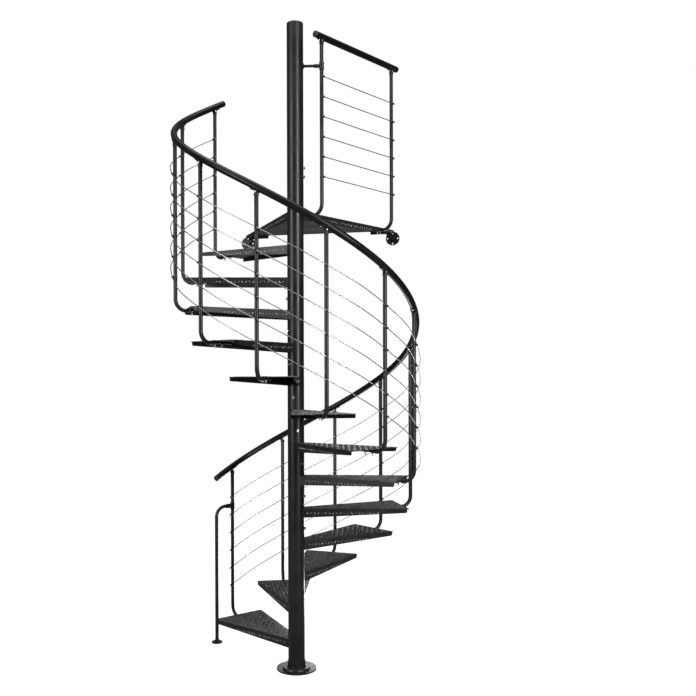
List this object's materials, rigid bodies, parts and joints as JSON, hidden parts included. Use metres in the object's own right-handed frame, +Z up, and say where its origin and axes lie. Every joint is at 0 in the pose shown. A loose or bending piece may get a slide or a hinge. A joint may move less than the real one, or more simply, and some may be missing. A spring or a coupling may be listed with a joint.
{
  "type": "spiral staircase",
  "caption": "Spiral staircase with a central pole, folded chequer-plate treads, a landing plate, tube balusters, thin infill rods and a helical handrail.",
  "frame": {"origin": "centre of the base plate's underside, on the pole axis, where the stair stands on the floor", "axes": "+Z up along the pole; the flight climbs clockwise seen from above; its first tread points 127.4 degrees counterclockwise from +X and the landing points 78.6 degrees counterclockwise from +X"},
  "size_m": [1.618, 1.7547, 4.222],
  "materials": {
    "black_coat": "satin black powder coat",
    "chequer_plate": "satin charcoal powder coat over raised chequer plate",
    "rail_cover": "smooth black cover",
    "cap_plastic": "black moulded cap",
    "rod_steel": "drawn stainless steel",
    "bolt_steel": "zinc plated"
  },
  "bodies": {
    "root": {"base_plate": "black_coat", "pole_tube": "black_coat", "pole_cap": "cap_plastic", "pole_screws": "bolt_steel", "tread_01": "chequer_plate", "tread_02": "chequer_plate", "tread_03": "chequer_plate", "tread_04": "chequer_plate", "tread_05": "chequer_plate", "tread_06": "chequer_plate", "tread_07": "chequer_plate", "tread_08": "chequer_plate", "tread_09": "chequer_plate", "tread_10": "chequer_plate", "tread_11": "chequer_plate", "tread_12": "chequer_plate", "tread_13": "chequer_plate", "baluster_01": "black_coat", "baluster_02": "black_coat", "baluster_03": "black_coat", "baluster_04": "black_coat", "baluster_05": "black_coat", "baluster_06": "black_coat", "baluster_07": "black_coat", "baluster_08": "black_coat", "baluster_09": "black_coat", "baluster_10": "black_coat", "baluster_11": "black_coat", "baluster_12": "black_coat", "baluster_13": "black_coat", "handrail": "rail_cover", "rail_brackets": "black_coat", "infill_rods": "rod_steel", "rod_clips": "black_coat", "start_post": "black_coat", "start_foot": "black_coat", "landing_plate": "chequer_plate", "guard_post_inner": "black_coat", "guard_post_outer": "black_coat", "guard_handrail": "rail_cover", "guard_rods": "rod_steel", "guard_strut": "black_coat", "tee_clamps": "black_coat", "anchor_left": "black_coat", "anchor_right": "black_coat"}
  },
  "joints": []
}
